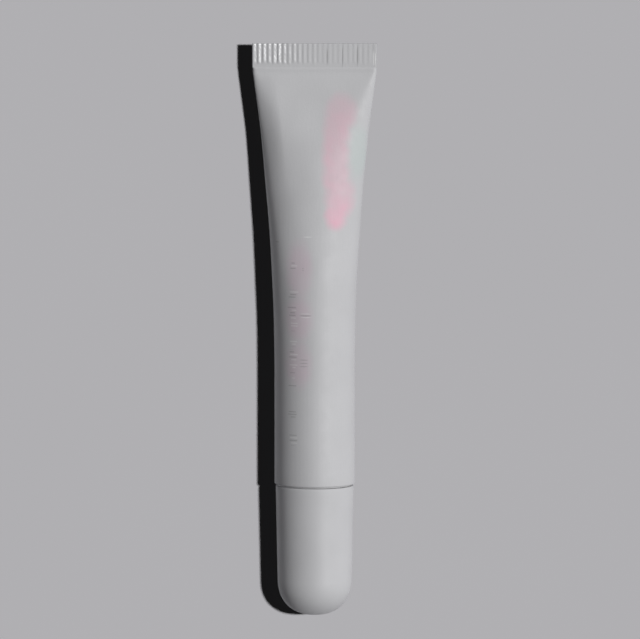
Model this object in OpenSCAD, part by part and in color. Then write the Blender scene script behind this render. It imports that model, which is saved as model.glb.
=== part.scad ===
// Soft squeeze tube for lip gloss, with a crimped tail and a domed screw cap.
// It lies on its side: its axis runs along Y, one tube radius above the surface,
// with the flat crimp at +Y and the tip of the cap at -Y.
// Distances along the axis are called u. They start at the shoulder, where the
// sleeve meets the cap, and grow towards the cap's tip.

/* [Sleeve] */
// Outer diameter of the sleeve's round end
tube_d = 16; // [15.5:0.1:17]
// Thickness of the sleeve's wall
sleeve_wall = 0.5; // [0.4:0.05:0.6]
// Length of the sleeve from the shoulder to the end of the crimp
sleeve_len = 88; // [80:0.5:100]
// Length of the true cylinder next to the shoulder
barrel_len = 21.2; // [16:0.1:26]
// Length of the flat crimp at the tail
crimp_len = 4.8; // [3:0.1:6]
// How long the tail stays round: 1 is a straight wedge
flatten_power = 2; // [1.6:0.1:2.4]
// Rounding of the sleeve's outer edge at the shoulder
sleeve_edge_r = 0.35; // [0.2:0.05:0.4]

/* [Head and neck] */
// Radius of the bore through the neck
neck_bore_r = 3.6; // [3.4:0.1:3.7]
// Radius at the root of the neck's thread
neck_r = 4.6; // [4.5:0.05:4.7]
// Length of the neck beyond the shoulder
neck_len = 7; // [6.8:0.1:7.2]
// Thickness of the shoulder plate
shoulder_t = 1.2; // [1:0.1:1.5]
// Length of the skirt that is welded into the sleeve
skirt_len = 3; // [2:0.1:4]
// Thickness of that skirt
skirt_t = 0.6; // [0.5:0.1:0.8]
// Height of the rim on the shoulder, just under the cap's mouth
rim_h = 0.15; // [0.1:0.05:0.15]

/* [Thread] */
// Axial distance covered in one turn of the cap
thread_lead = 4; // [4:0.1:4.4]
// Height of a thread ridge
thread_height = 0.7; // [0.6:0.05:0.75]
// Radial clearance between the neck's thread and the cap's
thread_clearance = 0.15; // [0.12:0.01:0.18]

/* [Applicator] */
// Radius of the applicator's shaft
tip_r = 3.4; // [3.1:0.1:3.5]
// Radius of its channel
channel_r = 2.2; // [1.8:0.1:2.4]
// Radius of the orifice in its slanted face
orifice_r = 0.9; // [0.6:0.1:1.2]
// Distance along the axis from the shoulder to the middle of the slanted face
slant_u = 15.3; // [15:0.1:15.5]
// Angle between the slanted face and a square cut
slant_angle = 40; // [35:1:45]

/* [Cap] */
// Outer radius of the cap at its mouth
cap_mouth_r = 7.75; // [7.6:0.05:7.8]
// Outer radius of the domed end
dome_r = 7.4; // [7.3:0.05:7.5]
// Length of the cap from its mouth to its tip
cap_len = 26; // [25:0.25:27]
// Gap between the sleeve's end and the cap's mouth
cap_gap = 0.25; // [0.2:0.05:0.4]
// Thickness of the cap at its domed end
cap_wall = 1.3; // [1.2:0.05:1.35]

/* [Hidden] */
$fn = 96;
overlap = 0.1;

// Sleeve: the tail is a loft of flattened rings, all of the same girth. Its wall is
// thinner than the barrel's by tail_step on each face, so that the loft's flat-sided
// rings start well inside the barrel's round ones.
tube_r = tube_d / 2;
sleeve_bore_r = tube_r - sleeve_wall;
midwall_r = tube_r - sleeve_wall / 2;
tail_len = sleeve_len - barrel_len - crimp_len;
tail_step = 0.03;
tail_half_wall = sleeve_wall / 2 - tail_step;
slit_half = 0.05;
flat_max = 1 - (tail_half_wall + slit_half) / midwall_r;
crimp_half_t = sleeve_wall * 0.9;
crimp_half_w = PI * midwall_r / 2 + sleeve_wall / 2;
tail_rings = 18;
corner_steps = 12;
ring_points = 4 * corner_steps;

// Gloss: it stops this far short of the walls that hold it.
fill_gap = 0.05;

// Applicator
flange_r = 4.4;
flange_t = 0.8;
channel_end_u = 11.5;
shaft_end_u = slant_u + tip_r * tan(slant_angle) + overlap;
slant_cut = 20;

// Thread: two starts, with trapezoid ridges
thread_starts = 2;
ridge_root_half = 0.52;
ridge_crest_half = 0.27;
steps_per_turn = 36;
neck_thread_u = 1.7;
neck_thread_turns = 1;
liner_thread_turns = 0.75;
neck_crest_r = neck_r + thread_height;
liner_bore_r = neck_crest_r + thread_clearance;
liner_crest_r = neck_r + thread_clearance;

// Cap: shell, threaded core and the ring between them
dome_u = cap_gap + cap_len - dome_r;
dome_bore_r = dome_r - cap_wall;
seat_step = 0.3;
shell_bore_r = dome_bore_r + seat_step;
mouth_edge_r = 0.3;
rim_r = cap_mouth_r - mouth_edge_r;
rim_bore_r = 6.5;
liner_start_u = 0.7;
liner_r = 6.1;
liner_rib_count = 8;
liner_rib_w = 0.7;
seal_gap = 0.05;
seal_t = 0.9;
seal_u = neck_len + flange_t + seal_gap;
seal_r = 5.2;
seal_bore_r = 3.9;
ledge_u = seal_u + seal_t + seal_gap;
ledge_t = 1.4;
liner_end_u = ledge_u + ledge_t;

shoulder_y = cap_gap + cap_len - (sleeve_len + cap_gap + cap_len) / 2;

// Stands the axis u along -Y at the height of the tube's axis.
module on_axis() {
    translate([0, shoulder_y, tube_r]) rotate([90, 0, 0]) children();
}

// A ring between two radii, from u0 to u1
module ring(outer_r, inner_r, u0, u1) {
    difference() {
        translate([0, 0, u0]) cylinder(r = outer_r, h = u1 - u0);
        translate([0, 0, u0 - overlap]) cylinder(r = inner_r, h = u1 - u0 + 2 * overlap);
    }
}

// A solid round bar from u0 to u1
module bar(r, u0, u1) {
    translate([0, 0, u0]) cylinder(r = r, h = u1 - u0);
}

// How flat the tail is at a fraction of its length: 0 is round
function flatness(fraction) = flat_max * pow(fraction, flatten_power);

// Corner radius at the middle of the wall, and half the straight side, of such a ring
function corner_r(flat) = midwall_r * (1 - flat);
function straight_half(flat) = PI / 2 * midwall_r * flat;

// One ring of points: a slot outline with its corners centred half a straight side out
function slot_ring(corner, half, u) = [
    for (i = [0:ring_points - 1])
        let (angle = (i + 0.5) * 360 / ring_points)
            [sign(cos(angle)) * half + corner * cos(angle), corner * sin(angle), u]
];

// The tail's ring at a fraction of its length, at an offset from the middle of the wall
function tail_ring(fraction, wall_offset) = slot_ring(
    corner_r(flatness(fraction)) + wall_offset,
    straight_half(flatness(fraction)),
    -barrel_len - fraction * tail_len
);

// Quads that join ring a to ring b, and those that join them the other way round
function wall_faces(a, b) = [
    for (i = [0:ring_points - 1])
        let (next = (i + 1) % ring_points)
            [a * ring_points + i, a * ring_points + next, b * ring_points + next, b * ring_points + i]
];
function ring_face(a) = [for (i = [0:ring_points - 1]) a * ring_points + i];
function backwards(face) = [for (i = [len(face) - 1:-1:0]) face[i]];

// The flattening tail and its crimp, as one closed skin: along the outside to the
// end of the crimp, and back along the inside to the open end.
module sleeve_tail() {
    outer = [for (i = [0:tail_rings]) tail_ring(i / tail_rings, tail_half_wall)];
    crimp = [
        for (u = [-barrel_len - tail_len - 0.4, -sleeve_len])
            slot_ring(crimp_half_t, crimp_half_w - crimp_half_t, u)
    ];
    inner = [for (i = [tail_rings:-1:0]) tail_ring(i / tail_rings, -tail_half_wall)];
    rings = concat(outer, crimp, inner);
    crimp_end = len(outer) + len(crimp) - 1;
    inner_start = crimp_end + 1;
    last = len(rings) - 1;
    polyhedron(
        points = [for (r = rings, p = r) p],
        faces = concat(
            [for (k = [0:crimp_end - 1], f = wall_faces(k, k + 1)) f],
            [ring_face(crimp_end)],
            [for (k = [inner_start:last - 1], f = wall_faces(k, k + 1)) f],
            [backwards(ring_face(inner_start))],
            wall_faces(last, 0)
        )
    );
}

// What fills the inside of the tail
module tail_fill() {
    rings = [for (i = [0:tail_rings - 1]) tail_ring(i / tail_rings, -tail_half_wall - 2 * fill_gap)];
    last = len(rings) - 1;
    polyhedron(
        points = [for (r = rings, p = r) p],
        faces = concat(
            [for (k = [0:last - 1], f = wall_faces(k, k + 1)) f],
            [ring_face(last)],
            [backwards(ring_face(0))]
        )
    );
}

// One helical ridge from radius root to radius crest, fading in and out at its ends
module thread_ridge(root, crest, start_u, turns, phase) {
    steps = round(turns * steps_per_turn);
    fade = 3;
    function height(i) = max(0.1, min(1, i / fade, (steps - i) / fade));
    function corner(i, r, u) =
        let (angle = phase + i * 360 / steps_per_turn)
            [r * cos(angle), r * sin(angle), start_u + u + i * thread_lead / steps_per_turn];
    function section(i) =
        let (
            top = root + (crest - root) * height(i),
            root_half = ridge_root_half,
            top_half = root_half + (ridge_crest_half - root_half) * height(i)
        )
            [
                corner(i, root, -root_half),
                corner(i, top, -top_half),
                corner(i, top, top_half),
                corner(i, root, root_half)
            ];
    side_faces = [
        for (i = [0:steps - 1], k = [0:3])
            let (n = (k + 1) % 4)
                [4 * i + k, 4 * i + n, 4 * (i + 1) + n, 4 * (i + 1) + k]
    ];
    outward = concat(side_faces, [[3, 2, 1, 0]], [[for (k = [0:3]) 4 * steps + k]]);
    polyhedron(
        points = [for (i = [0:steps], p = section(i)) p],
        faces = crest > root ? outward : [for (f = outward) backwards(f)]
    );
}

// Extruded polyethylene sleeve: a true cylinder at the shoulder, flattened to the crimp
module tube_sleeve() {
    color("#c3c3c6") on_axis() {
        rotate_extrude() difference() {
            union() {
                translate([0, -barrel_len]) square([tube_r, barrel_len - sleeve_edge_r]);
                translate([0, -barrel_len]) square([tube_r - sleeve_edge_r, barrel_len]);
                translate([tube_r - sleeve_edge_r, -sleeve_edge_r]) circle(r = sleeve_edge_r);
            }
            translate([0, -barrel_len - 1]) square([sleeve_bore_r, barrel_len + 2]);
        }
        sleeve_tail();
    }
}

// Moulded head: skirt, shoulder plate with a low rim under the cap's mouth, and threaded neck
module tube_head() {
    color("#d8d8da") on_axis() {
        ring(sleeve_bore_r, sleeve_bore_r - skirt_t, -skirt_len, 0);
        ring(sleeve_bore_r - skirt_t / 2, neck_bore_r, -shoulder_t, 0);
        ring(neck_r, neck_bore_r, -shoulder_t, neck_len);
        ring(rim_r, rim_bore_r, -overlap, rim_h);
        for (k = [0:thread_starts - 1])
            thread_ridge(
                neck_r - overlap, neck_crest_r, neck_thread_u,
                neck_thread_turns, k * 360 / thread_starts
            );
    }
}

// Soft applicator: plug and flange on the neck, and a shaft cut off at a slant
module applicator_tip() {
    color("#ece6e6") on_axis() difference() {
        union() {
            bar(neck_bore_r, -shoulder_t, neck_len + flange_t);
            bar(flange_r, neck_len, neck_len + flange_t);
            bar(tip_r, neck_len, shaft_end_u);
        }
        bar(channel_r, -shoulder_t - overlap, channel_end_u);
        bar(orifice_r, channel_end_u - overlap, shaft_end_u);
        translate([0, 0, slant_u]) rotate([-slant_angle, 0, 0])
            translate([-slant_cut / 2, -slant_cut / 2, 0]) cube(slant_cut);
    }
}

// The gloss inside the sleeve and the applicator's channel
module gloss_fill() {
    color("#d9a0ac") on_axis() {
        tail_fill();
        bar(sleeve_bore_r - fill_gap, -barrel_len, -skirt_len - fill_gap);
        bar(sleeve_bore_r - skirt_t - fill_gap, -skirt_len - overlap, -shoulder_t - fill_gap);
        bar(channel_r - fill_gap, -shoulder_t - overlap, channel_end_u - fill_gap);
        bar(orifice_r - fill_gap, channel_end_u - overlap, slant_u - orifice_r);
    }
}

// Outer shell of the cap: a tapering tube with a hemispherical end. Its bore is wider
// around the core, which seats on the step.
module cap_shell() {
    color("#c6c6c9") on_axis() rotate_extrude() difference() {
        union() {
            polygon([
                [0, cap_gap],
                [cap_mouth_r - mouth_edge_r, cap_gap],
                [cap_mouth_r, cap_gap + mouth_edge_r],
                [dome_r, dome_u],
                [0, dome_u]
            ]);
            translate([cap_mouth_r - mouth_edge_r, cap_gap + mouth_edge_r])
                circle(r = mouth_edge_r);
            intersection() {
                translate([0, dome_u]) circle(r = dome_r);
                translate([0, dome_u]) square(dome_r);
            }
        }
        translate([0, -1]) square([shell_bore_r, liner_end_u + 1]);
        square([dome_bore_r, dome_u]);
        translate([0, dome_u]) circle(r = dome_bore_r);
    }
}

// Threaded core of the cap, with press ribs outside and a ledge for the seal
module cap_liner() {
    color("#e4e4e6") on_axis() {
        ring(liner_r, liner_bore_r, liner_start_u, ledge_u);
        ring(liner_r, seal_bore_r, ledge_u, liner_end_u);
        intersection() {
            ring(shell_bore_r, liner_r - overlap, liner_start_u, liner_end_u);
            for (k = [0:liner_rib_count - 1])
                rotate([0, 0, (k + 0.5) * 360 / liner_rib_count])
                    translate([0, -liner_rib_w / 2, 0])
                        cube([cap_mouth_r, liner_rib_w, liner_end_u]);
        }
        for (k = [0:thread_starts - 1])
            thread_ridge(
                liner_bore_r + overlap, liner_crest_r, neck_thread_u + thread_lead / 4,
                liner_thread_turns, k * 360 / thread_starts
            );
    }
}

// Sealing ring, which rests on the applicator's flange
module cap_seal() {
    color("#f0eee8") on_axis() ring(seal_r, seal_bore_r, seal_u, seal_u + seal_t);
}

tube_sleeve();
tube_head();
applicator_tip();
gloss_fill();
cap_shell();
cap_liner();
cap_seal();
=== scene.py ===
import math

import bpy
import numpy as np
from mathutils import Matrix, Vector


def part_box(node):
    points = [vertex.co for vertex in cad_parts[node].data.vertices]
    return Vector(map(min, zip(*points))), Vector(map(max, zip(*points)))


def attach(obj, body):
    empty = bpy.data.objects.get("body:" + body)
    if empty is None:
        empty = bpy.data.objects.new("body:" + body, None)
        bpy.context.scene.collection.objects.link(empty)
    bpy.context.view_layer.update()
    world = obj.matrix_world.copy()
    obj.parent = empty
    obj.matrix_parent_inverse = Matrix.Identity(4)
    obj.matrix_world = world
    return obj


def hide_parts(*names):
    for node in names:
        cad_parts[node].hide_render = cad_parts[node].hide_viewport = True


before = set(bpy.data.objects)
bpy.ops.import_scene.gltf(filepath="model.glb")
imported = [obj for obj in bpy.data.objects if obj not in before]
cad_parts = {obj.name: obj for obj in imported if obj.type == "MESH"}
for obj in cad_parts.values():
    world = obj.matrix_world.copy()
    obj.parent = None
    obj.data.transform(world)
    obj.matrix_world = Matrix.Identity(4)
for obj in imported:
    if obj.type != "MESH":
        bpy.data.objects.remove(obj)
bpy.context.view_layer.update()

# Lengths in this script are in millimetres in the row frame until a mesh is made.
# Distances along the tube's axis are called u: 0 at the shoulder, growing to the cap's tip.
MM = 0.001


def box_mm(node):
    """The two corners of a CAD node's box, in millimetres."""
    return [np.array(corner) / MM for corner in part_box(node)]


sleeve_low, sleeve_high = box_mm("tube_sleeve")
shell_low, shell_high = box_mm("cap_shell")
seal_low, seal_high = box_mm("cap_seal")
core_low, core_high = box_mm("cap_liner")
head_low = box_mm("tube_head")[0]
tip_high = box_mm("applicator_tip")[1]

SHOULDER_Y = sleeve_low[1]
TAIL_Y = sleeve_high[1]
TUBE_R = (sleeve_high[2] - sleeve_low[2]) / 2
AXIS_Z = sleeve_low[2] + TUBE_R
FLAT_HALF_W = sleeve_high[0]
# These three are the CAD's own, but its boxes don't show them.
WALL = 0.5
BARREL_LEN = 21.2
CRIMP_LEN = 4.8
MIDWALL_R = TUBE_R - WALL / 2
CRIMP_Y = TAIL_Y - CRIMP_LEN
BARREL_Y = SHOULDER_Y + BARREL_LEN
TAIL_LEN = CRIMP_Y - BARREL_Y

rng = np.random.default_rng(11)


# ---------------------------------------------------------------- meshes

def smoothstep(x, low=0.0, high=1.0):
    t = np.clip((np.asarray(x, float) - low) / (high - low), 0, 1)
    return t * t * (3 - 2 * t)


def along_axis(x, z, u):
    """Points at offsets x and z from the axis, at a distance u along it."""
    x, z, u = np.broadcast_arrays(x, z, u)
    return np.stack([x, SHOULDER_Y - u, AXIS_Z + z], axis=-1)


def make_mesh(name, points, faces):
    """An object from points in millimetres, with its faces turned outwards."""
    mesh = bpy.data.meshes.new(name)
    mesh.from_pydata((np.asarray(points) * MM).tolist(), [], faces)
    mesh.validate()
    mesh.update()
    tri = np.array([(f[0], f[k], f[k + 1]) for f in faces for k in range(1, len(f) - 1)])
    a, b, c = (np.asarray(points)[tri[:, k]] for k in range(3))
    if np.einsum("ij,ij->i", a, np.cross(b, c)).sum() < 0:
        mesh.flip_normals()
    mesh.shade_smooth()
    mesh.set_sharp_from_angle(angle=math.radians(42))
    obj = bpy.data.objects.new(name, mesh)
    bpy.context.scene.collection.objects.link(obj)
    return obj


def skin(name, rings, start, end=None):
    """One closed skin through rings of equally many points. Each end is closed with a
    pole or zipped flat; with start = "loop" the last ring joins the first instead."""
    rings = np.asarray(rings, float)
    count, n = rings.shape[:2]
    points = rings.reshape(-1, 3).tolist()
    nxt = (np.arange(n) + 1) % n
    faces = []
    for k in range(count - 1 + (start == "loop")):
        a, b = k * n, ((k + 1) % count) * n
        faces += np.stack([a + np.arange(n), a + nxt, b + nxt, b + np.arange(n)], 1).tolist()
    if start != "loop":
        for kind, first, inward in ((start, 0, True), (end, (count - 1) * n, False)):
            if kind == "pole":
                points.append(np.mean(points[first:first + n], axis=0).tolist())
                pole = len(points) - 1
                fan = [[first + i, first + int(nxt[i]), pole] for i in range(n)]
            else:
                fan = []
                for i in range(n // 2):
                    low, high = first + (n - i) % n, first + (n - i - 1) % n
                    quad = [first + i, first + i + 1, high, low]
                    fan.append([p for j, p in enumerate(quad) if p not in quad[:j]])
            faces += [f[::-1] for f in fan] if inward else fan
    return make_mesh(name, points, faces)


def turn(n):
    """The angles of n points around the axis."""
    return np.arange(n) * 2 * np.pi / n


def revolve(profile, n):
    """Rings of n points around the axis through (radius, u) pairs. A radius may also be
    one for each point."""
    angle = turn(n)
    return [along_axis(r * np.cos(angle), r * np.sin(angle), u) for r, u in profile]


def arc(centre_r, centre_u, radius, start, stop, steps):
    """(radius, u) pairs along an arc, with angles in degrees from the outward radius."""
    angles = np.radians(np.linspace(start, stop, steps + 1))
    return [(centre_r + radius * math.cos(a), centre_u + radius * math.sin(a)) for a in angles]


def line(start, stop, steps):
    """(radius, u) pairs after start, up to stop."""
    start, stop = np.array(start), np.array(stop)
    return [tuple(start + (stop - start) * k / steps) for k in range(1, steps + 1)]


# ---------------------------------------------------------------- sleeve

SECTION_POINTS = 480
SUBSTEPS = 24  # steps of the outline's integral from one point to the next
FLATTEST = 900.0  # the largest k of lens, a ring that is pressed flat
SEAM_HALF = 0.28  # least half distance between the two midwalls, where the tube is sealed


def lens(k):
    """A ring of the sleeve's midwall girth, round at k = 0 and flatter as k grows.
    Returns the points of its quarter from the right limb to the top, with normals."""
    theta = np.linspace(0, np.pi / 2, SECTION_POINTS // 4 * SUBSTEPS + 1)
    weight = np.exp(k * (np.cos(2 * theta) - 1))
    total = np.concatenate([[0], np.cumsum((weight[1:] + weight[:-1]) / 2)])
    heading = np.pi / 2 * (1 + total / total[-1])
    step = MIDWALL_R * theta[1]
    mid = (heading[1:] + heading[:-1]) / 2
    x = np.concatenate([[0], np.cumsum(np.cos(mid) * step)])
    x -= x[-1]
    z = np.concatenate([[0], np.cumsum(np.sin(mid) * step)])
    heading = heading[::SUBSTEPS]
    return x[::SUBSTEPS], z[::SUBSTEPS], np.sin(heading), -np.cos(heading)


def lens_of_width(half_w):
    """The flattened ring with this half width at its midwall."""
    if half_w <= MIDWALL_R + 1e-4:
        return lens(0.0)
    low, high = 0.0, FLATTEST
    for _ in range(48):
        k = (low + high) / 2
        x, z = lens(k)[:2]
        if x[0] < half_w and z[-1] > SEAM_HALF:
            low = k
        else:
            high = k
    return lens(low)


def full_ring(quarter, offset):
    """x and z offsets of a whole ring, pushed out by offset along its normals."""
    x, z, nx, nz = quarter
    x, z = x + offset * nx, z + offset * nz
    upper_x = np.concatenate([x, -x[-2::-1]])
    upper_z = np.concatenate([z, z[-2::-1]])
    return (
        np.concatenate([upper_x, upper_x[-2:0:-1]]),
        np.concatenate([upper_z, -upper_z[-2:0:-1]]),
    )


def tail_share(y):
    """0 where the barrel ends, 1 where the crimp begins."""
    return np.clip((y - BARREL_Y) / TAIL_LEN, 0, 1)


def half_width(y):
    """Half width of the sleeve at its midwall."""
    return MIDWALL_R + (FLAT_HALF_W - TUBE_R) * tail_share(y)**2


def dent(x, y):
    """Shallow hollows and swells, as in a soft tube that has been handled."""
    t = tail_share(y)
    mask = smoothstep(t, 0.02, 0.35) * (1 - smoothstep(t, 0.8, 1.0))
    wave = (
        0.50 * np.sin(0.31 * x + 0.17 * y + 0.6)
        + 0.32 * np.sin(-0.52 * x + 0.24 * y + 2.1)
        + 0.18 * np.sin(0.85 * x + 0.41 * y + 4.0)
    )
    return 0.07 * mask * wave


def corner_fold(x, y):
    """How much the tail's skin sinks at the corner next to the crimp, from 0 to 1."""
    t = tail_share(y)
    mask = smoothstep(t, 0.58, 0.86) * (1 - smoothstep(t, 0.95, 1.0))
    return mask * smoothstep(-x, half_width(y) - 4.2, half_width(y) + 1.8)


CRIMP_HALF = 0.375  # half thickness midway between a rib's top and its foot
CRIMP_HALF_W = FLAT_HALF_W - 0.005
CRIMP_CORNER = 0.16
END_ROUND = 0.06
RIB_COUNT = 25
RIB_PITCH = 1.0
RIB_SHIFT = 0.17  # how far the row of ribs is off the middle, towards -X
RIB_SLOPE_SHARE = 0.6  # the share of a rib's width that its long side takes
RIB_LIFT = 0.012  # how much thicker the ribbed part is
# The ribs are pressed deep at one side of the crimp and hardly at all at the other.
rib_index = np.arange(RIB_COUNT)
rib_height = (
    0.014
    + 0.025 * (1 - smoothstep(rib_index, 9, 15))
    + 0.038 * (1 - smoothstep(rib_index, 5.5, 8.5))
)
rib_height *= 1 + 0.5 * (rng.random(RIB_COUNT) - 0.5)
rib_end = CRIMP_Y + 0.75 + 0.3 * rng.random(RIB_COUNT)
rib_waver = 2 * np.pi * rng.random((RIB_COUNT, 2))
# Fine creases between the shallow ribs: x, depth, and the shares of the crimp's length
# where each starts and stops.
CREASES = [
    (2.45, 0.020, 0.15, 0.75),
    (5.5, 0.012, 0.15, 0.95),
    (8.45, 0.025, 0.15, 0.95),
    (9.3, 0.022, 0.15, 0.9),
    (11.72, 0.035, 0.12, 0.62),
    (12.08, 0.030, 0.12, 0.66),
]
CREASE_HALF_W = 0.09
CREASE_FADE = 0.08  # share of the crimp's length over which a crease's end fades


def rib_profile(phase):
    """Height of a rib, from -1 to 1, with a steep side and a long one."""
    steep = 1 + 2 * phase / (1 - RIB_SLOPE_SHARE)
    long = 1 - 2 * phase / RIB_SLOPE_SHARE
    near = np.where(phase < 0, steep, long)
    return 0.5 * near + 0.5 * np.sin(np.pi / 2 * near)


def crimp_half(x, y):
    """Half thickness of the crimp, with its pressed ribs."""
    along = (x + RIB_SHIFT) / RIB_PITCH + (RIB_COUNT - 1) / 2
    index = np.clip(np.floor(along + 1 - RIB_SLOPE_SHARE), 0, RIB_COUNT - 1).astype(int)
    phase = np.clip(along - index, RIB_SLOPE_SHARE - 1, RIB_SLOPE_SHARE)
    ends = smoothstep(y, rib_end[index] - 0.25, rib_end[index] + 0.35)
    slow, quick = rib_waver[index].T
    waver = 1 + 0.16 * np.sin(2.1 * y + slow) + 0.14 * np.sin(6.7 * y + quick)
    half = CRIMP_HALF + rib_height[index] * rib_profile(phase) * waver * ends + RIB_LIFT * ends
    share = (y - CRIMP_Y) / CRIMP_LEN
    for where, depth, start, stop in CREASES:
        fade_in = smoothstep(share, start, start + CREASE_FADE)
        fade_out = 1 - smoothstep(share, stop - CREASE_FADE, stop)
        half = half - depth * np.exp(-((x - where) / CREASE_HALF_W) ** 2) * fade_in * fade_out
    return half


def crimp_ring(y, closing):
    """A ring of the crimp. closing is how far it rounds in at the very end, in mm."""
    x = full_ring(lens(FLATTEST), WALL / 2)[0]
    x = x * (CRIMP_HALF_W / np.abs(x).max())
    side = np.where(np.arange(SECTION_POINTS) <= SECTION_POINTS // 2, 1.0, -1.0)
    inset = np.clip((np.abs(x) - (CRIMP_HALF_W - CRIMP_CORNER)) / CRIMP_CORNER, 0, 1)
    half = crimp_half(x, y) * np.sqrt(np.maximum(1 - inset**2, 0))
    sunk = END_ROUND * (1 - math.sqrt(max(1 - (closing / END_ROUND) ** 2, 0)))
    half = half - np.minimum(sunk, 0.4 * half)
    return np.stack([x, np.full_like(x, y), AXIS_Z + side * half], axis=-1)


def tail_ring(y, offset):
    """A ring of the sleeve at y. The outer skin, with offset > 0, also has the dents."""
    x, z = full_ring(lens_of_width(half_width(y)), offset)
    if offset > 0:
        angle = np.arctan2(z, x)
        push = dent(x + 0.7 * z, y)
        x, z = x + push * np.cos(angle), z + push * np.sin(angle)
    x = np.clip(x, -FLAT_HALF_W, FLAT_HALF_W)
    if offset > 0:
        z = z * (1 - 0.5 * corner_fold(x, y))
    return np.stack([x, np.full_like(x, y), AXIS_Z + z], axis=-1)


def build_sleeve():
    edge = 0.35
    crimp_step = 0.155
    inner_ys = np.concatenate([
        np.linspace(CRIMP_Y - 0.1, CRIMP_Y - 3.0, 7),
        np.linspace(CRIMP_Y - 6.0, BARREL_Y, 14),
        np.linspace(BARREL_Y - 5, SHOULDER_Y, 5),
    ])
    rings = [tail_ring(y, -WALL / 2) for y in inner_ys]
    rings += revolve(arc(TUBE_R - edge, -edge, edge, 90, 0, 6), SECTION_POINTS)
    barrel = np.linspace(SHOULDER_Y + edge, BARREL_Y, 9)[1:]
    share = np.linspace(0, 1, 78)[1:-1]
    tail = BARREL_Y + TAIL_LEN * (1 - (1 - share) ** 1.35)
    rings += [tail_ring(y, WALL / 2) for y in np.concatenate([barrel, tail])]
    for y in np.arange(CRIMP_Y, TAIL_Y - END_ROUND - 0.1, crimp_step):
        rings.append(crimp_ring(y, 0.0))
    for a in (0, 30, 60, 90):
        out = END_ROUND * math.sin(math.radians(a))
        rings.append(crimp_ring(TAIL_Y - END_ROUND + out, out))
    return skin("sleeve_skin", rings, "zip", "zip")


sleeve = build_sleeve()

# ---------------------------------------------------------------- cap shell

CAP_GAP = SHOULDER_Y - shell_high[1]
CAP_END_U = SHOULDER_Y - shell_low[1]
CAP_MOUTH_R = shell_high[0]
DOME_R = 7.4
DOME_U = CAP_END_U - DOME_R
DOME_BLUNTNESS = 2.3  # 2 is a hemisphere
POLE_ANGLE = 89.4  # degrees up the dome, where its last ring is
CORE_BORE_R = 6.4
DOME_BORE_R = 6.1
CORE_START_U = SHOULDER_Y - core_high[1]
CORE_END_U = SHOULDER_Y - core_low[1]


def blunt_dome():
    """(radius, u) pairs from the foot of the dome to its pole."""
    pairs = []
    for a in np.radians(np.linspace(0, POLE_ANGLE, 57))[1:]:
        c, s = math.cos(a), math.sin(a)
        reach = DOME_R * (c**DOME_BLUNTNESS + s**DOME_BLUNTNESS) ** (-1 / DOME_BLUNTNESS)
        pairs.append((reach * c, DOME_U + reach * s))
    return pairs


def build_cap():
    edge, chamfer = 0.3, 0.12
    inner = arc(0, DOME_U, DOME_BORE_R, POLE_ANGLE, 0, 30)
    inner += line(inner[-1], (DOME_BORE_R, CORE_END_U + 0.06), 6)
    inner += [(DOME_BORE_R + 0.06, CORE_END_U), (CORE_BORE_R - 0.02, CORE_END_U)]
    inner += line((CORE_BORE_R, CORE_END_U), (CORE_BORE_R, CAP_GAP + 0.3), 9)
    outer = arc(CORE_BORE_R + chamfer, CAP_GAP + chamfer, chamfer, -180, -90, 4)
    outer += arc(CAP_MOUTH_R - edge, CAP_GAP + edge, edge, -90, 0, 8)
    outer += line(outer[-1], (DOME_R, DOME_U), 22)
    return skin("cap_dome", revolve(inner + outer + blunt_dome(), 224), "pole", "pole")


cap = build_cap()

# ---------------------------------------------------------------- head and its thread

THREAD_LEAD = 4.0
THREAD_HEIGHT = 0.7
RIDGE_ROOT_HALF = 0.52
RIDGE_CREST_HALF = 0.27
NECK_THREAD_U = 1.7
NECK_R = 4.6
NECK_END_U = SHOULDER_Y - head_low[1]
HEAD_BORE_R = 3.6
HEAD_FLOOR_U = -1.2  # the underside of the shoulder, inside the sleeve
RIM_R = 7.45
RIM_BORE_R = 6.5
RIM_H = 0.15
SKIRT_R = 7.5
SKIRT_BORE_R = 6.9
SKIRT_END_U = -3.0


def ridge(angle, u, start_u, turns, fade):
    """Height, from 0 to 1, of a two-start thread at an angle and a distance along the axis."""
    best = np.zeros(np.broadcast(angle, u).shape)
    for phase in (0.0, 0.5):
        for lap in range(-1, int(turns) + 2):
            turned = angle / (2 * np.pi) - phase + lap
            here = (turned >= 0) & (turned <= turns)
            rise = smoothstep(turned, 0, fade) * (1 - smoothstep(turned, turns - fade, turns))
            off = np.abs(u - start_u - THREAD_LEAD * turned)
            side = 1 - smoothstep(off, RIDGE_CREST_HALF - 0.06, RIDGE_ROOT_HALF + 0.04)
            best = np.maximum(best, np.where(here, rise * side, 0))
    return best


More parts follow.
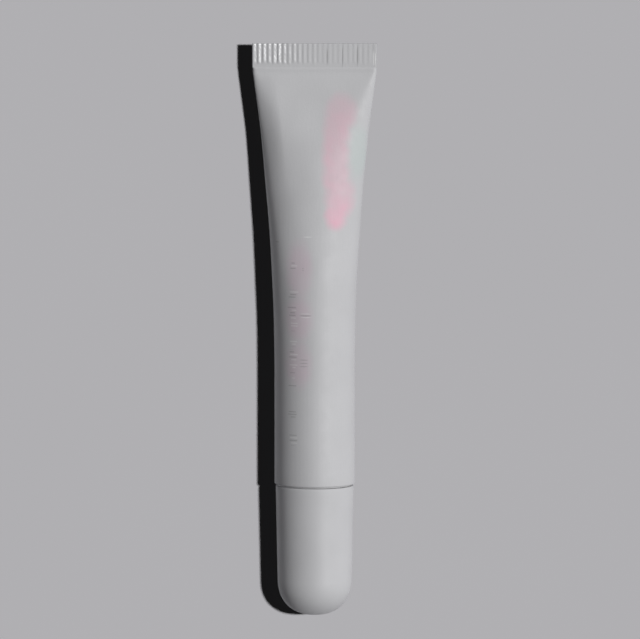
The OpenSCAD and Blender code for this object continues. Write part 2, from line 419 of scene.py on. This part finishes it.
def build_head():
    n = 200
    angle = turn(n)
    edge, foot, fillet, bevel = 0.2, 0.35, 0.5, 0.03
    ledge_u = -1.7

    profile = [(HEAD_BORE_R, HEAD_FLOOR_U), (HEAD_BORE_R, 0.0)]
    profile += [(HEAD_BORE_R, u) for u in np.linspace(1, NECK_END_U - 0.15, 6)]
    profile += [(HEAD_BORE_R + 0.15, NECK_END_U)]
    profile += arc(NECK_R - edge, NECK_END_U - edge, edge, 90, 0, 4)
    for u in np.linspace(NECK_END_U - 0.3, 0.45, 96):
        profile.append((NECK_R + THREAD_HEIGHT * ridge(angle, u, NECK_THREAD_U, 1.0, 0.09), u))
    profile += arc(NECK_R + foot, foot, foot, 180, 270, 5)
    profile += [(r, 0.0) for r in np.linspace(NECK_R + 0.8, RIM_BORE_R, 4)]
    profile += [(RIM_BORE_R, RIM_H - bevel), (RIM_BORE_R + bevel, RIM_H)]
    profile += [(RIM_R - bevel, RIM_H), (RIM_R, RIM_H - bevel)]
    profile += [(RIM_R, -0.06), (SKIRT_R, -0.1)]
    profile += [(SKIRT_R, u) for u in (-1.0, -2.0, SKIRT_END_U + 0.1)]
    profile += [(SKIRT_R - 0.1, SKIRT_END_U), (SKIRT_BORE_R + 0.1, SKIRT_END_U)]
    profile += [(SKIRT_BORE_R, SKIRT_END_U + 0.1)]
    profile += arc(SKIRT_BORE_R - fillet, ledge_u, fillet, 0, 90, 4)
    profile += [(5.0, HEAD_FLOOR_U)]
    return skin("neck_head", revolve(profile, n), "loop")


head = build_head()

# ---------------------------------------------------------------- applicator

TIP_R = 3.4
PLUG_R = HEAD_BORE_R
FLANGE_R = tip_high[0]
FLANGE_START_U, FLANGE_END_U = 7.0, 7.8
CHANNEL_R = 2.2
CHANNEL_END_U = 11.5
ORIFICE_R = 0.9
ORIFICE_DISH = 0.22  # how far the slanted face sinks to the orifice
SLANT_U = 15.3  # where the slanted face crosses the axis
SLANT = math.radians(40)


def build_tip():
    n = 160
    angle = turn(n)
    corner, foot, edge, lip = 0.2, 0.3, 0.55, 0.3

    def face_u(r):
        """The slanted face's u at this radius."""
        return SLANT_U - math.tan(SLANT) * r * np.sin(angle)

    def slanted(r, below):
        """A ring parallel to the slanted face, this far below it along the axis."""
        return r, face_u(r) - below

    profile = [(PLUG_R - 0.15, HEAD_FLOOR_U), (PLUG_R, HEAD_FLOOR_U + 0.15)]
    profile += [(PLUG_R, u) for u in np.linspace(0.2, FLANGE_START_U, 7)]
    profile += [(FLANGE_R - 0.12, FLANGE_START_U), (FLANGE_R, FLANGE_START_U + 0.12)]
    profile += [(FLANGE_R, FLANGE_END_U - corner)]
    profile += arc(FLANGE_R - corner, FLANGE_END_U - corner, corner, 20, 90, 3)
    profile += arc(TIP_R + foot, FLANGE_END_U + foot, foot, 270, 180, 5)

    top_u = face_u(TIP_R) - edge
    low_u = FLANGE_END_U + 0.35
    profile += [(TIP_R, low_u + (top_u - low_u) * s) for s in np.linspace(0.06, 1, 22)]
    for r, rise in arc(TIP_R - edge, 0, edge, 12, 90, 7):
        profile.append(slanted(r, edge - rise))
    for r in np.linspace(TIP_R - edge - 0.15, ORIFICE_R + 0.35, 9):
        share = (TIP_R - edge - r) / (TIP_R - edge - ORIFICE_R)
        profile.append(slanted(r, ORIFICE_DISH * smoothstep(share)))
    for r, rise in arc(ORIFICE_R + lip, 0, lip, 90, 180, 5)[1:]:
        profile.append(slanted(r, ORIFICE_DISH + lip - rise))

    mouth_u = face_u(ORIFICE_R) - 0.6
    for share in np.linspace(0.2, 1, 5):
        profile.append((ORIFICE_R, mouth_u * (1 - share) + CHANNEL_END_U * share))
    profile += [(CHANNEL_R - 0.3, CHANNEL_END_U), (CHANNEL_R, CHANNEL_END_U - 0.3)]
    profile += [(CHANNEL_R, u) for u in np.linspace(CHANNEL_END_U - 2, HEAD_FLOOR_U + 0.3, 6)]
    profile += [(CHANNEL_R + 0.2, HEAD_FLOOR_U)]
    return skin("lip_applicator", revolve(profile, n), "loop")


tip = build_tip()

# ---------------------------------------------------------------- gloss

def build_gloss():
    """The gloss, a little smaller than the space that it fills."""
    n = 160
    gap = 0.08
    channel_r, orifice_r = CHANNEL_R - 0.05, ORIFICE_R - 0.06
    rings = []
    ys = [np.linspace(CRIMP_Y - 2.2, CRIMP_Y - 6, 5), np.linspace(CRIMP_Y - 9, BARREL_Y, 18)]
    for y in np.concatenate(ys):
        x, z = full_ring(lens_of_width(half_width(y)), -WALL / 2 - gap)
        x, z = x[::SECTION_POINTS // n], z[::SECTION_POINTS // n]
        rings.append(np.stack([x, np.full_like(x, y), AXIS_Z + z], axis=-1))

    profile = [(SKIRT_R - gap, -12), (SKIRT_R - gap, SKIRT_END_U - 0.1)]
    profile += [(SKIRT_BORE_R - gap, SKIRT_END_U), (SKIRT_BORE_R - gap, -1.8), (6.3, -1.3)]
    profile += [(4.0, -1.27), (channel_r, HEAD_FLOOR_U - 0.05)]
    profile += [(channel_r, u) for u in (2, 6, 10, CHANNEL_END_U - 0.4)]
    profile += [(channel_r - 0.3, CHANNEL_END_U - 0.07), (orifice_r + 0.02, CHANNEL_END_U - 0.05)]
    profile += [(orifice_r, u) for u in (12.5, 13.5)]
    rings += revolve(profile, n)

    bead_u, bead_h = SLANT_U - 0.37, 0.45
    bead = []
    for a in np.radians(np.linspace(0, 84, 9)):
        r = orifice_r * math.cos(a)
        slope = math.tan(SLANT) * r * np.sin(turn(n))
        bead.append((r, bead_u - slope - bead_h * (1 - math.sin(a))))
    return skin("gloss_body", rings + revolve(bead, n), "zip", "pole")


gloss = build_gloss()

# ---------------------------------------------------------------- core and seal

LEDGE_U = 8.8
LEDGE_BORE_R = 3.9
CORE_THREAD_BORE_R = 5.45
CORE_THREAD_CREST_R = 4.75
CORE_R = 6.1
PRESS_RIBS = 8
PRESS_RIB_H = 0.295


def build_core():
    n = 240
    angle = turn(n)
    depth = CORE_THREAD_BORE_R - CORE_THREAD_CREST_R
    thread_u = NECK_THREAD_U + THREAD_LEAD / 4
    spread = (angle / (2 * np.pi) * PRESS_RIBS) % 1 - 0.5
    rib = 1 - smoothstep(np.abs(spread), 0.055, 0.085)

    profile = [(CORE_THREAD_BORE_R + 0.15, CORE_START_U)]
    for u in np.linspace(CORE_START_U + 0.15, LEDGE_U - 0.12, 90):
        profile.append((CORE_THREAD_BORE_R - depth * ridge(angle, u, thread_u, 0.75, 0.11), u))
    profile += [(CORE_THREAD_BORE_R - 0.12, LEDGE_U)]
    profile += [((CORE_THREAD_BORE_R + LEDGE_BORE_R) / 2, LEDGE_U), (LEDGE_BORE_R + 0.1, LEDGE_U)]
    profile += [(LEDGE_BORE_R, LEDGE_U + 0.1), (LEDGE_BORE_R, CORE_END_U - 0.15)]
    profile += [(LEDGE_BORE_R + 0.15, CORE_END_U), ((CORE_R + LEDGE_BORE_R) / 2, CORE_END_U)]
    profile += [(CORE_R - 0.1, CORE_END_U)]
    for u in np.linspace(CORE_END_U - 0.12, CORE_START_U + 0.5, 12):
        profile.append((CORE_R + PRESS_RIB_H * rib, u))
    profile += [(CORE_R + 0.12 * rib, CORE_START_U + 0.12), (CORE_R - 0.12, CORE_START_U)]
    return skin("thread_core", revolve(profile, n), "loop")


core = build_core()


def build_seal():
    edge = 0.12
    low_u, high_u = SHOULDER_Y - seal_high[1] + edge, SHOULDER_Y - seal_low[1] - edge
    outer, inner = seal_high[0] - edge, LEDGE_BORE_R + edge
    profile = arc(outer, high_u, edge, 0, 90, 3) + arc(inner, high_u, edge, 90, 180, 3)
    profile += arc(inner, low_u, edge, 180, 270, 3) + arc(outer, low_u, edge, 270, 360, 3)
    return skin("seal_ring", revolve(profile, 128), "loop")


seal = build_seal()

# ---------------------------------------------------------------- materials


class Graph:
    """A material's node tree, with short ways to add to it."""

    def __init__(self, name):
        self.material = bpy.data.materials.new(name)
        self.material.use_nodes = True
        self.tree = self.material.node_tree
        self.shader = self.tree.nodes["Principled BSDF"]
        self.point = None

    def add(self, kind, **settings):
        node = self.tree.nodes.new(kind)
        for key, value in settings.items():
            setattr(node, key, value)
        return node

    def put(self, value, socket):
        if isinstance(value, bpy.types.NodeSocket):
            self.tree.links.new(value, socket)
        else:
            socket.default_value = value

    def mm(self):
        """Object coordinates in millimetres."""
        if self.point is None:
            where = self.add("ShaderNodeTexCoord")
            self.point = self.scaled(where.outputs["Object"], 1 / MM)
        return self.point

    def math(self, operation, *values):
        node = self.add("ShaderNodeMath", operation=operation)
        for value, socket in zip(values, node.inputs):
            self.put(value, socket)
        return node.outputs[0]

    def product(self, first, *others):
        for other in others:
            first = self.math("MULTIPLY", first, other)
        return first

    def vector(self, operation, *values):
        node = self.add("ShaderNodeVectorMath", operation=operation)
        for value, socket in zip(values, node.inputs):
            self.put(value, socket)
        return node.outputs["Value" if operation == "LENGTH" else "Vector"]

    def scaled(self, vector, factor):
        node = self.add("ShaderNodeVectorMath", operation="SCALE")
        self.put(vector, node.inputs[0])
        self.put(factor, node.inputs["Scale"])
        return node.outputs["Vector"]

    def split(self, vector):
        node = self.add("ShaderNodeSeparateXYZ")
        self.put(vector, node.inputs[0])
        return node.outputs

    def ramp(self, value, low, high, to_low=0.0, to_high=1.0, smooth=True):
        """value from low..high to to_low..to_high, clamped."""
        kind = "SMOOTHSTEP" if smooth else "LINEAR"
        node = self.add("ShaderNodeMapRange", interpolation_type=kind)
        for v, socket in zip((value, low, high, to_low, to_high), node.inputs):
            self.put(v, socket)
        return node.outputs["Result"]

    def noise(self, scale, detail=2.0, roughness=0.5, colour=False, stretch=None):
        """Noise of about 1/scale mm."""
        vector = self.mm()
        if stretch:
            vector = self.vector("MULTIPLY", vector, stretch)
        node = self.add("ShaderNodeTexNoise")
        self.put(vector, node.inputs["Vector"])
        self.put(scale, node.inputs["Scale"])
        self.put(detail, node.inputs["Detail"])
        self.put(roughness, node.inputs["Roughness"])
        return node.outputs["Color" if colour else "Fac"]

    def mix(self, share, low, high):
        """A colour between low and high. A Mix node's colours are its inputs 6 and 7."""
        node = self.add("ShaderNodeMix", data_type="RGBA")
        self.put(share, node.inputs["Factor"])
        self.put(low, node.inputs[6])
        self.put(high, node.inputs[7])
        return node.outputs[2]

    def bump(self, height, strength, distance_mm, under=None):
        node = self.add("ShaderNodeBump")
        self.put(strength, node.inputs["Strength"])
        self.put(distance_mm * MM, node.inputs["Distance"])
        self.put(height, node.inputs["Height"])
        if under:
            self.put(under, node.inputs["Normal"])
        return node.outputs["Normal"]

    def finish(self, specular=None, diffuse_roughness=None, **sockets):
        if specular is not None:
            self.shader.inputs["Specular IOR Level"].default_value = specular
        if diffuse_roughness is not None:
            self.shader.inputs["Diffuse Roughness"].default_value = diffuse_roughness
        for name, value in sockets.items():
            self.put(value, self.shader.inputs[name.replace("_", " ")])
        return self.material


def grey(value, tint=0.0):
    """A near-neutral colour, a little bluer for a positive tint."""
    return (value, value, value * (1 + tint), 1.0)


SLEEVE_GREY = 0.56
SHELL_TINT = 0.026  # of the sleeve and the cap
INK_AND_SHADE_TINT = 0.02
# The print's places are measured from a point on the axis this far from the shoulder.
PRINT_U = 31.0
DASH_X = -4.3
DASH_PITCH = 0.52


def washed(red, green, blue):
    """The sleeve's grey with its channels multiplied."""
    return (SLEEVE_GREY * red, SLEEVE_GREY * green, SLEEVE_GREY * blue, 1.0)


def blobs(g, where, ellipses, soft):
    """The union of soft ellipses (x, y, half width, half length), in mm."""
    union = None
    for x, y, rx, ry in ellipses:
        off = g.vector("SUBTRACT", where, (x, y, 0.0))
        off = g.vector("MULTIPLY", off, (1 / rx, 1 / ry, 0.0))
        mask = g.ramp(g.vector("LENGTH", off), 1 + soft, 1 - soft)
        union = mask if union is None else g.math("MAXIMUM", union, mask)
    return union


def add_washes(g, base, placed, top):
    """Soft washes of ink in pink, pale green and mauve."""
    wobble = g.vector("SUBTRACT", g.noise(0.45, detail=3, colour=True), (0.5, 0.5, 0.5))
    loose = g.vector("ADD", placed, g.scaled(wobble, 1.3))
    patch = g.ramp(g.noise(0.3, detail=2), 0.3, 0.7, 0.75, 1.0)
    y = g.split(placed)[1]

    pink = blobs(g, loose, [
        (5.3, 43.6, 2.8, 3.4),
        (4.3, 40.0, 2.4, 4.0),
        (4.1, 35.0, 2.4, 5.0),
        (4.2, 31.0, 2.4, 4.0),
        (5.0, 27.0, 2.7, 4.2),
        (4.2, 23.4, 2.0, 2.9),
    ], 0.42)
    strong = g.product(g.ramp(y, 28.0, 22.0, 0.6, 0.95), g.ramp(y, 47.0, 40.0, 0.6, 1.0))
    base = g.mix(g.product(pink, patch, strong, top), base, washed(1.36, 0.80, 0.97))

    mint = blobs(g, loose, [(8.8, 35.6, 1.6, 4.8)], 0.4)
    base = g.mix(g.product(mint, top, 0.32), base, washed(0.86, 1.06, 1.0))

    mauve = blobs(g, loose, [
        (-3.1, 12.2, 2.4, 5.4),
        (-3.1, 2.8, 2.5, 4.2),
        (-3.2, -6.4, 2.4, 4.2),
    ], 0.45)
    return g.mix(g.product(mauve, patch, top, 0.48), base, washed(1.12, 0.86, 1.0))


def add_dashes(g, base, placed, top):
    """A row of short dashes across the axis, of uneven length and strength."""
    x, y, _ = g.split(placed)
    row = g.math("DIVIDE", y, DASH_PITCH)
    chance = g.add("ShaderNodeTexWhiteNoise", noise_dimensions="1D")
    g.put(g.math("FLOOR", row), chance.inputs["W"])
    lucky, second, third = g.split(chance.outputs["Color"])
    within = g.math("ABSOLUTE", g.math("SUBTRACT", g.math("FRACT", row), 0.5))
    thin = g.ramp(within, 0.26, 0.14)
    length = g.ramp(second, 0.0, 1.0, 0.30, 0.95, smooth=False)
    shift = g.ramp(third, 0.0, 1.0, -0.25, 0.25, smooth=False)
    off = g.math("ABSOLUTE", g.math("SUBTRACT", g.math("SUBTRACT", x, DASH_X), shift))
    across = g.ramp(g.math("SUBTRACT", off, length), 0.08, -0.08)
    busy = blobs(g, placed, [
        (DASH_X, place, 3.0, half)
        for place, half in (
            (13.3, 0.9), (7.6, 0.9), (2.8, 2.5), (-1.7, 1.1),
            (-5.9, 2.3), (-10.6, 1.6), (-16.6, 1.0), (-21.5, 1.1),
        )
    ], 0.15)
    present = g.math("GREATER_THAN", lucky, 0.22)
    dark, pale = grey(SLEEVE_GREY * 0.42, INK_AND_SHADE_TINT), grey(0.80)
    ink = g.mix(g.math("GREATER_THAN", third, 0.62), dark, pale)
    return g.mix(g.product(thin, across, busy, present, top, 0.42), base, ink)


def add_strokes(g, base, placed, top):
    """A few fine strokes beside the dashes, dark and light."""
    dark = blobs(g, placed, [
        (-7.4, 17.8, 0.35, 0.11),
        (-2.35, 12.8, 0.16, 0.09),
        (-2.35, 12.4, 0.16, 0.09),
        (-1.8, 3.4, 1.1, 0.17),
        (-2.15, -5.45, 0.8, 0.11),
        (-2.15, -6.1, 0.8, 0.11),
        (-2.15, -6.75, 0.8, 0.11),
    ], 0.35)
    base = g.mix(g.product(dark, top, 0.38), base, grey(SLEEVE_GREY * 0.45, INK_AND_SHADE_TINT))
    light = blobs(g, placed, [
        (-1.4, 19.0, 0.8, 0.12),
        (-1.8, 3.75, 1.0, 0.08),
        (-1.8, 3.05, 1.0, 0.08),
    ], 0.35)
    return g.mix(g.product(light, top, 0.5), base, grey(0.78))


def add_crimp_painted_shade_and_glints(g, base, placed):
    """Painted shade in the deeper creases of the crimp, and painted highlights at its right end."""
    # Painted shade: the deeper creases are coloured darker, standing in for the shade inside them.
    creases = blobs(g, placed, [
        (2.45, 54.4, 0.13, 1.6),
        (5.5, 54.3, 0.10, 2.0),
        (8.45, 54.5, 0.15, 2.0),
    ], 0.35)
    upper = g.ramp(g.split(placed)[2], AXIS_Z, AXIS_Z + 0.2, 0.0, 0.5)
    base = g.mix(g.product(creases, upper), base, grey(SLEEVE_GREY * 0.45, INK_AND_SHADE_TINT))
    # Painted highlights: light spots at the crimp's right end stand in for glints.
    painted_glints = blobs(g, placed, [(11.70, 54.1, 0.11, 1.4), (12.06, 53.8, 0.11, 1.4)], 0.35)
    return g.mix(g.product(painted_glints, 0.55), base, grey(0.82))


def sleeve_material():
    """Frosted plastic with its print. The deep ribs of the crimp are pressed glossier."""
    g = Graph("sleeve_plastic")
    x, y, z = g.split(g.mm())
    cloud = g.ramp(g.noise(0.09, detail=3), 0.3, 0.7)
    grain = g.noise(3.2, detail=2)
    dim, bright = (grey(SLEEVE_GREY * k, SHELL_TINT) for k in (0.975, 1.02))
    base = g.mix(cloud, dim, bright)
    speck = grey(SLEEVE_GREY * 0.93, SHELL_TINT)
    base = g.mix(g.ramp(grain, 0.35, 0.75, 0, 0.25), base, speck)

    placed = g.vector("SUBTRACT", g.mm(), (0.0, SHOULDER_Y + PRINT_U, 0.0))
    top = g.ramp(z, AXIS_Z + 0.3, AXIS_Z + 1.0)
    base = add_washes(g, base, placed, top)
    base = add_dashes(g, base, placed, top)
    base = add_strokes(g, base, placed, top)
    base = add_crimp_painted_shade_and_glints(g, base, placed)

    # moulded skin: fine grain and faint drawing lines along the tube
    drawn = g.noise(1.0, detail=2, stretch=(2.4, 0.03, 2.4))
    peel = g.noise(1.6, detail=3, roughness=0.6)
    normal = g.bump(grain, 0.10, 0.04)
    normal = g.bump(peel, 0.10, 0.10, normal)
    normal = g.bump(drawn, 0.12, 0.10, normal)
    rough = g.ramp(g.noise(0.5, detail=3), 0.3, 0.7, 0.54, 0.62)
    pressed = g.ramp(y, CRIMP_Y + 0.3, CRIMP_Y + 0.9)
    deep = g.math("MAXIMUM", g.ramp(x, -1.0, -6.0), g.ramp(x, 11.0, 11.6, 0.0, 0.5))
    rough = g.math("SUBTRACT", rough, g.product(pressed, deep, 0.27))
    return g.finish(0.5, 0.12, Base_Color=base, Roughness=rough, Normal=normal)


def cap_material():
    """Smooth satin plastic, with faint flow marks."""
    g = Graph("cap_plastic")
    cloud = g.ramp(g.noise(0.12, detail=3), 0.3, 0.7)
    grain = g.noise(4.0, detail=2)
    base = g.mix(cloud, grey(0.555, SHELL_TINT), grey(0.575, SHELL_TINT))
    base = g.mix(g.ramp(grain, 0.4, 0.8, 0, 0.2), base, grey(0.53, SHELL_TINT))
    swirl = g.noise(0.5, detail=4, roughness=0.6, stretch=(1.0, 0.35, 1.0))
    normal = g.bump(grain, 0.08, 0.03)
    normal = g.bump(swirl, 0.08, 0.12, normal)
    rough = g.ramp(swirl, 0.3, 0.7, 0.48, 0.58)
    return g.finish(0.3, 0.12, Base_Color=base, Roughness=rough, Normal=normal)


def plastic(name, low, high, rough_low, rough_high, scale, grain_scale, bump_mm):
    """A moulded plastic with cloudy colour, uneven gloss and a fine grain."""
    g = Graph(name)
    cloud = g.ramp(g.noise(scale, detail=3), 0.3, 0.7)
    grain = g.noise(grain_scale, detail=2)
    base = g.mix(cloud, low, high)
    normal = g.bump(grain, 0.25, bump_mm)
    rough = g.ramp(g.noise(scale * 3, detail=3), 0.3, 0.7, rough_low, rough_high)
    return g.finish(Base_Color=base, Roughness=rough, Normal=normal)


def head_material():
    return plastic("head_plastic", grey(0.63, 0.01), grey(0.68, 0.01), 0.34, 0.46, 0.25, 5.0, 0.04)


def core_material():
    return plastic("liner_plastic", grey(0.73, 0.01), grey(0.77, 0.01), 0.30, 0.40, 0.25, 5.0, 0.04)


def applicator_material():
    low, high = (0.79, 0.74, 0.74, 1), (0.83, 0.78, 0.78, 1)
    return plastic("applicator_elastomer", low, high, 0.42, 0.55, 0.3, 3.0, 0.05)


def seal_material():
    """Closed-cell foam: small round cells in the surface, with painted shade in their hollows."""
    g = Graph("seal_foam")
    cells = g.add("ShaderNodeTexVoronoi", feature="F1")
    g.put(g.mm(), cells.inputs["Vector"])
    g.put(4.5, cells.inputs["Scale"])
    pits = g.ramp(cells.outputs["Distance"], 0.1, 0.5)
    # Painted shade: the cells' hollows are coloured darker.
    base = g.mix(pits, (0.76, 0.74, 0.70, 1.0), (0.85, 0.84, 0.81, 1.0))
    normal = g.bump(pits, 0.5, 0.08)
    rough = g.ramp(cells.outputs["Distance"], 0.0, 0.6, 0.85, 0.65)
    return g.finish(Base_Color=base, Roughness=rough, Normal=normal)


def gloss_material():
    """Clear tinted gel."""
    g = Graph("gloss")
    depth = g.noise(0.4, detail=2)
    base = g.mix(g.ramp(depth, 0.3, 0.7), (0.70, 0.33, 0.39, 1.0), (0.76, 0.40, 0.46, 1.0))
    rough = g.ramp(g.noise(0.8, detail=2), 0.3, 0.7, 0.05, 0.10)
    normal = g.bump(depth, 0.15, 0.2)
    g.shader.inputs["Coat Weight"].default_value = 0.6
    g.shader.inputs["Coat Roughness"].default_value = 0.04
    return g.finish(Base_Color=base, Roughness=rough, Normal=normal)


# ---------------------------------------------------------------- what stands for what

PIECES = [
    (sleeve, "tube", "tube_sleeve", "sleeve_plastic", sleeve_material()),
    (head, "tube", "tube_head", "head_plastic", head_material()),
    (tip, "tube", "applicator_tip", "applicator_elastomer", applicator_material()),
    (gloss, "tube", "gloss_fill", "gloss", gloss_material()),
    (seal, "seal", "cap_seal", "seal_foam", seal_material()),
    (cap, "cap", "cap_shell", "cap_plastic", cap_material()),
    (core, "cap", "cap_liner", "liner_plastic", core_material()),
]
for piece, body, node, slot, material in PIECES:
    piece.data.materials.append(material)
    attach(piece, body)
    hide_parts(node)

# ---------------------------------------------------------------- floor, light and camera

FLOOR_HALF = 6.0  # metres


def build_floor():
    """A plain pale sheet on the surface that the tube lies on."""
    mesh = bpy.data.meshes.new("floor")
    corners = ((-1, -1), (1, -1), (1, 1), (-1, 1))
    points = [(sx * FLOOR_HALF, sy * FLOOR_HALF, 0.0) for sx, sy in corners]
    mesh.from_pydata(points, [], [(0, 1, 2, 3)])
    g = Graph("floor_paper")
    tone = g.ramp(g.noise(0.012, detail=2), 0.3, 0.7)
    colour = g.mix(tone, (0.797, 0.788, 0.818, 1), (0.803, 0.794, 0.824, 1))
    mesh.materials.append(g.finish(0.0, Base_Color=colour, Roughness=0.95))
    obj = bpy.data.objects.new("floor", mesh)
    bpy.context.scene.collection.objects.link(obj)
    return obj


floor = build_floor()


def sun(name, elevation, azimuth, angle, strength, lit):
    """A sun at an elevation and azimuth in degrees, azimuth 0 being +X, that lights only
    the objects in lit."""
    data = bpy.data.lights.new(name, "SUN")
    data.angle = math.radians(angle)
    data.energy = strength
    obj = bpy.data.objects.new(name, data)
    e, a = math.radians(elevation), math.radians(azimuth)
    towards = Vector((math.cos(e) * math.cos(a), math.cos(e) * math.sin(a), math.sin(e)))
    obj.rotation_euler = towards.to_track_quat("Z", "Y").to_euler()
    bpy.context.scene.collection.objects.link(obj)
    group = bpy.data.collections.new(name + "_on")
    for o in lit:
        group.objects.link(o)
    obj.light_linking.receiver_collection = group


visible = [piece for piece, *_ in PIECES]
sun("shadow_key", 68.5, 17.8, 2.7, 1.80, [floor])
sun("main", 56, 8, 14, 2.30, visible)
sun("rim", 8, 0, 24, 0.27, visible)
sun("tail_side", 42, 75, 24, 0.64, visible)
# The floor stays evenly lit next to the tube, so the pieces throw no light back on it.
for piece in visible:
    piece.visible_diffuse = False


def build_world():
    """A pale surround for the camera that lights the scene only a little."""
    world = bpy.data.worlds.new("studio")
    bpy.context.scene.world = world
    world.use_nodes = True
    nodes, links = world.node_tree.nodes, world.node_tree.links
    nodes.clear()
    out = nodes.new("ShaderNodeOutputWorld")
    blend = nodes.new("ShaderNodeMixShader")
    rays = nodes.new("ShaderNodeLightPath")
    dim, pale = nodes.new("ShaderNodeBackground"), nodes.new("ShaderNodeBackground")
    dim.inputs["Color"].default_value = (1.0, 1.0, 1.02, 1)
    dim.inputs["Strength"].default_value = 0.01
    pale.inputs["Color"].default_value = (0.434, 0.428, 0.450, 1)
    links.new(rays.outputs["Is Camera Ray"], blend.inputs[0])
    links.new(dim.outputs[0], blend.inputs[1])
    links.new(pale.outputs[0], blend.inputs[2])
    links.new(blend.outputs[0], out.inputs[0])


build_world()

CAMERA_HEIGHT = 3000.0
CAMERA_LEAN = math.radians(6.0)  # from straight above, towards the tail
CAMERA_LENS = 848.1
# The camera aims at a point at the axis's height, this far to the right and towards the tail.
AIM_X = 1.05
AIM_FROM_SHOULDER = 32.86


def build_camera():
    data = bpy.data.cameras.new("camera")
    data.sensor_width = 36
    data.lens = CAMERA_LENS
    data.clip_start = 0.01
    data.clip_end = 50
    obj = bpy.data.objects.new("camera", data)
    bpy.context.scene.collection.objects.link(obj)
    aim = Vector((AIM_X, SHOULDER_Y + AIM_FROM_SHOULDER, AXIS_Z))
    right = Vector((1, 0, 0))
    back = Vector((0, math.sin(CAMERA_LEAN), math.cos(CAMERA_LEAN)))
    obj.location = (aim + back * CAMERA_HEIGHT) * MM
    obj.rotation_euler = Matrix((right, back.cross(right), back)).transposed().to_euler()
    bpy.context.scene.camera = obj


build_camera()
bpy.context.scene.view_settings.view_transform = "Standard"
bpy.context.scene.view_settings.look = "None"
